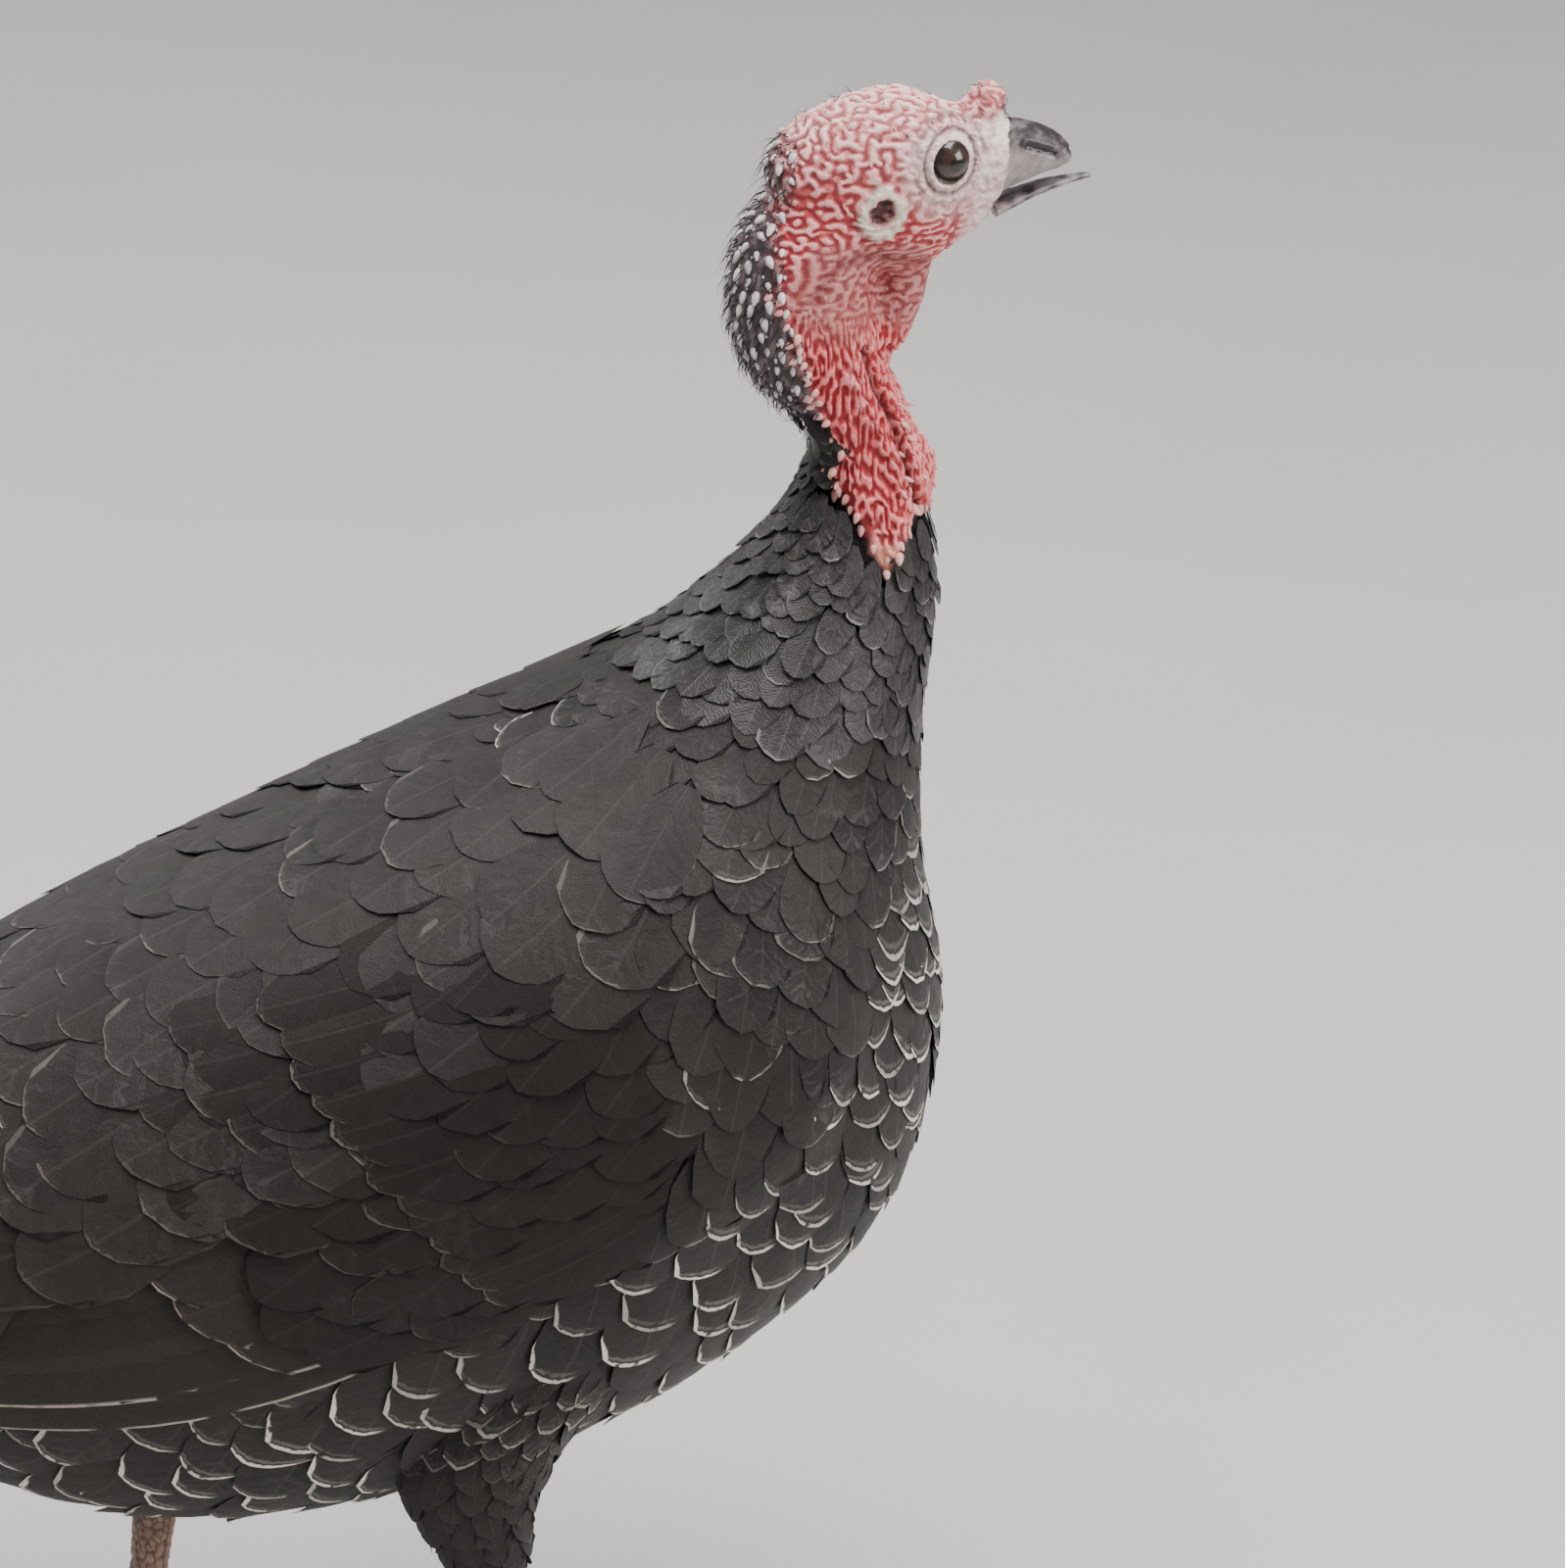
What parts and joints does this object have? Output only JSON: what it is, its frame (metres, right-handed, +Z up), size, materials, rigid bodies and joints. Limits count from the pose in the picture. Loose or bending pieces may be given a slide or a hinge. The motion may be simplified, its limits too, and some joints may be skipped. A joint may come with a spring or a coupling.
{
  "type": "domestic turkey",
  "caption": "Life-size black domestic turkey hen standing alert, head raised in profile, wings and tail folded, right leg forward.",
  "frame": {"origin": "middle of the bounding box, on the floor under the soles", "axes": "+X towards the bill, +Y to the bird's left, +Z up"},
  "size_m": [0.6828, 0.2166, 0.6639],
  "materials": {
    "plumage": "glossy black feathers with pale crescent tips",
    "flight_feathers": "blackish brown feathers with thin pale edges",
    "red_skin": "bare red skin, folded and beaded",
    "pale_skin": "bare pink and whitish skin, finely wrinkled",
    "bill_horn": "greyish lilac horn",
    "eye": "wet dark brown",
    "scaled_skin": "brownish pink scales",
    "claw_horn": "dark horn"
  },
  "bodies": {
    "root": {"bill_lower": "bill_horn", "bill_upper": "bill_horn", "breast": "plumage", "caruncle_front": "red_skin", "caruncle_left": "red_skin", "caruncle_right": "red_skin", "claw_hallux_left": "claw_horn", "claw_hallux_right": "claw_horn", "claw_inner_left": "claw_horn", "claw_inner_right": "claw_horn", "claw_middle_left": "claw_horn", "claw_middle_right": "claw_horn", "claw_outer_left": "claw_horn", "claw_outer_right": "claw_horn", "dewlap": "red_skin", "ear_left": "pale_skin", "ear_right": "pale_skin", "eye_left": "eye", "eye_right": "eye", "head": "pale_skin", "neck_lower": "plumage", "neck_upper": "red_skin", "rump": "plumage", "shank_left": "scaled_skin", "shank_right": "scaled_skin", "snood": "red_skin", "tail_coverts_lower": "plumage", "tail_coverts_upper": "plumage", "tail_feathers": "flight_feathers", "thigh_left": "plumage", "thigh_right": "plumage", "toe_hallux_left": "scaled_skin", "toe_hallux_right": "scaled_skin", "toe_inner_left": "scaled_skin", "toe_inner_right": "scaled_skin", "toe_middle_left": "scaled_skin", "toe_middle_right": "scaled_skin", "toe_outer_left": "scaled_skin", "toe_outer_right": "scaled_skin", "trunk": "plumage", "wing_coverts_left": "plumage", "wing_coverts_right": "plumage", "wing_primaries_left": "flight_feathers", "wing_primaries_right": "flight_feathers", "wing_secondaries_left": "flight_feathers", "wing_secondaries_right": "flight_feathers"}
  },
  "joints": []
}
